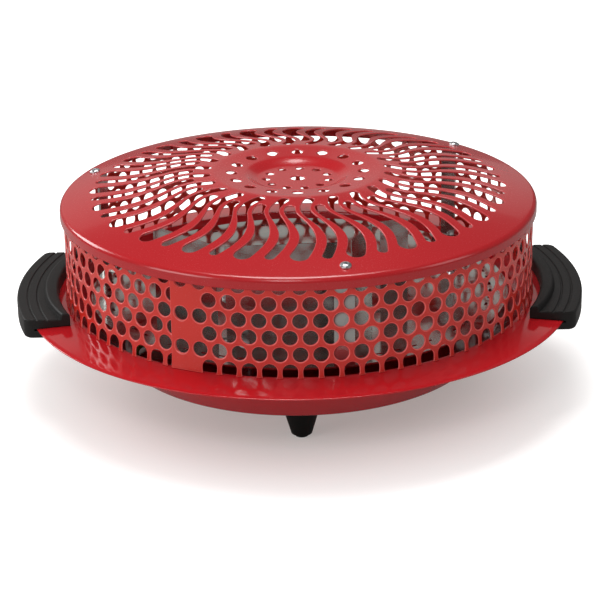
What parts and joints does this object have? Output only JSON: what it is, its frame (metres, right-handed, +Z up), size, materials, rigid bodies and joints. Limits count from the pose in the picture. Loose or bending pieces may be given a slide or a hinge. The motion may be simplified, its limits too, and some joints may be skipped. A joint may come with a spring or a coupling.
{
  "type": "electric brazier heater",
  "caption": "Round floor-standing electric brazier heater: red enamelled tray on feet with two black grips, perforated guard band and domed slotted lid over sheathed heating elements.",
  "frame": {"origin": "on the floor under the centre of the round tray", "axes": "+Z up; the front, with one foot in the middle, faces -Y; the two handles lie along +X and -X"},
  "size_m": [0.406, 0.39, 0.1614],
  "materials": {
    "enamel_tray": "glossy",
    "enamel_band": "satin",
    "enamel_lid": "satin",
    "handle_plastic": "matte",
    "foot_plastic": "satin",
    "pad_rubber": "matte",
    "galvanised_plate": "bright",
    "galvanised_sheet": "satin",
    "zinc_screw": "bright",
    "element_sheath": "satin",
    "white_ceramic": "matte",
    "terminal_brass": "satin",
    "cutout_plastic": "matte",
    "wire_black": "matte",
    "wire_brown": "matte",
    "wire_blue": "matte",
    "wire_green": "matte"
  },
  "bodies": {
    "root": {"tray": "enamel_tray", "perforated_band": "enamel_band", "lid_grille": "enamel_lid", "handle_left": "handle_plastic", "handle_right": "handle_plastic", "handle_screws": "zinc_screw", "foot_front": "foot_plastic", "foot_rear_right": "foot_plastic", "foot_rear_left": "foot_plastic", "foot_pads": "pad_rubber", "foot_screws": "zinc_screw", "floor_plate": "galvanised_plate", "plate_spacers": "zinc_screw", "spacer_screws": "zinc_screw", "plate_screws": "zinc_screw", "post_front": "galvanised_sheet", "post_rear_right": "galvanised_sheet", "post_rear_left": "galvanised_sheet", "post_screws": "zinc_screw", "lid_screws": "zinc_screw", "front_shield": "galvanised_sheet", "shield_screws": "zinc_screw", "reflector_dish": "galvanised_sheet", "dish_screws": "zinc_screw", "element_inner": "element_sheath", "element_outer": "element_sheath", "element_bushes": "white_ceramic", "element_pins": "zinc_screw", "neutral_strap": "terminal_brass", "terminal_block": "white_ceramic", "terminal_screws": "terminal_brass", "block_screws": "zinc_screw", "thermal_cutout": "cutout_plastic", "cutout_screws": "zinc_screw", "wire_low": "wire_black", "wire_high": "wire_brown", "wire_neutral": "wire_blue", "wire_return": "wire_blue", "wire_earth": "wire_green", "earth_tag": "terminal_brass", "earth_screw": "zinc_screw", "cord_gland": "handle_plastic", "gland_nut": "handle_plastic"}
  },
  "joints": []
}
